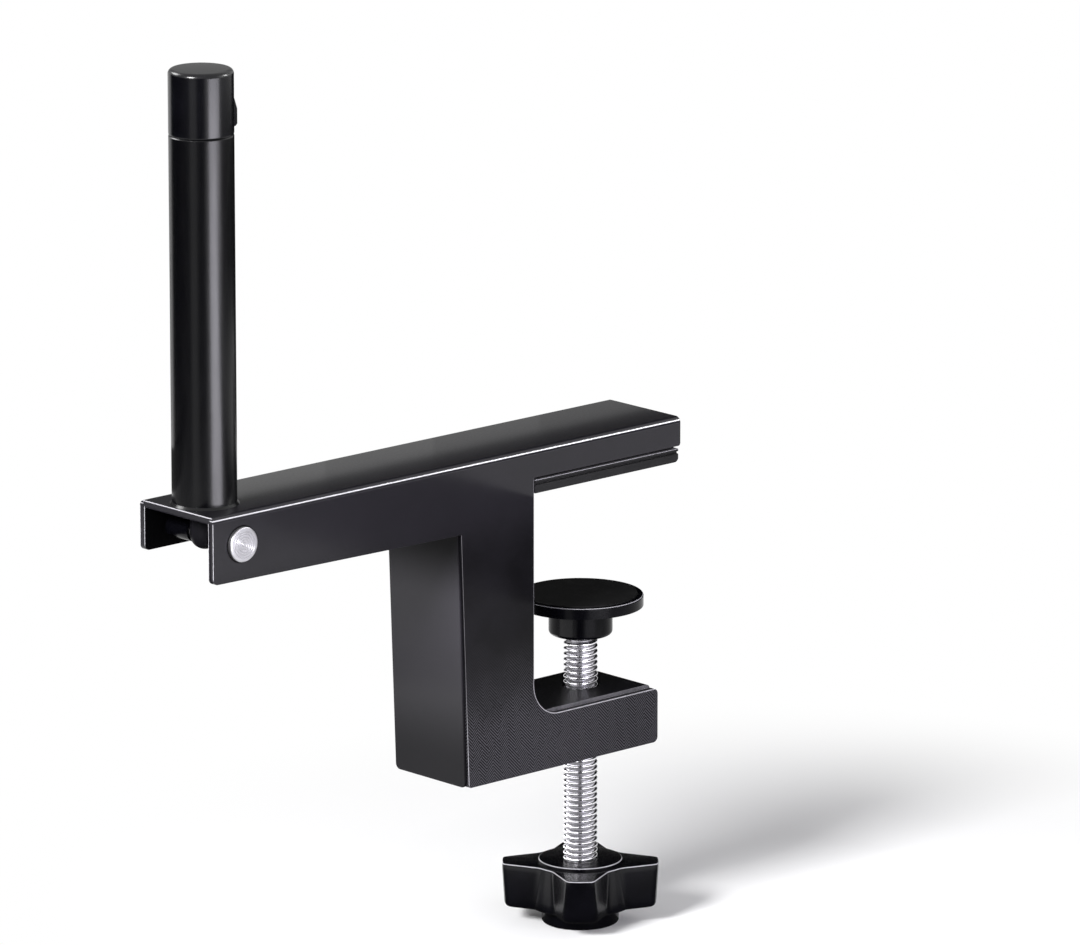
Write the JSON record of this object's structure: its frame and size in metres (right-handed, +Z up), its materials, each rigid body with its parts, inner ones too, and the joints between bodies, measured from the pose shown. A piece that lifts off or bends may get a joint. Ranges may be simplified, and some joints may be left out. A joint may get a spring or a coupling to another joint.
{
  "type": "table tennis net clamp",
  "caption": "Slotted net post on a pressed steel C-bracket with a hand screw, tilting foot and rubber jaw pad that clamp it to a table edge.",
  "frame": {"origin": "where the clamp screw's axis meets the jaw pad's underside, which rests on the playing surface", "axes": "+X from the post towards the table, +Y along the table's side, +Z up along the screw and the post"},
  "size_m": [0.215, 0.046, 0.329],
  "materials": {
    "coated_steel": "satin black powder coat",
    "post_coating": "smooth semi-gloss black coat",
    "black_plastic": "moulded, semi-gloss black",
    "rubber": "matt black rubber",
    "bright_zinc": "bright zinc plate",
    "bare_steel": "plain steel"
  },
  "bodies": {
    "frame": {"bracket": "coated_steel", "leg_back_plate": "coated_steel", "throat_plate": "coated_steel", "jaw_plate": "coated_steel", "table_pad": "rubber", "spindle_nut": "bare_steel", "post_tube": "post_coating", "post_spigot": "coated_steel", "cross_rivet": "bright_zinc", "rivet_spacers": "black_plastic", "rivet_washer": "bright_zinc"},
    "cap": {"post_cap": "black_plastic", "cap_grip_ring": "rubber"},
    "carrier": {"thrust_ball": "bright_zinc"},
    "foot": {"foot_plate": "black_plastic", "foot_facing": "rubber", "retaining_ring": "bare_steel"},
    "spindle": {"clamp_spindle": "bright_zinc", "spindle_tip": "bright_zinc", "knob_body": "black_plastic", "knob_insert": "bare_steel", "knob_locknut": "bare_steel", "knob_cover": "black_plastic"}
  },
  "joints": [
    {"name": "screw_travel", "type": "slide", "parent": "frame", "child": "carrier", "axis": [0, 0, 1], "range_m": [-0.01702, 0.04102]},
    {"name": "spindle_turn", "type": "hinge", "parent": "carrier", "child": "spindle", "pos_m": [0, 0, -0.0526], "axis": [0, 0, 1], "range_deg": [-3060, 7380]},
    {"name": "foot_tilt", "type": "hinge", "parent": "carrier", "child": "foot", "pos_m": [0, 0, -0.0526], "axis": [0, 1, 0], "range_deg": [-5, 5]},
    {"name": "cap_lift", "type": "slide", "parent": "frame", "child": "cap", "axis": [0, 0, 1], "range_m": [0, 0.04]}
  ],
  "couplings": [
    {"joint": "screw_travel", "follows": "spindle_turn", "m_per_rad": 0.00031831}
  ]
}
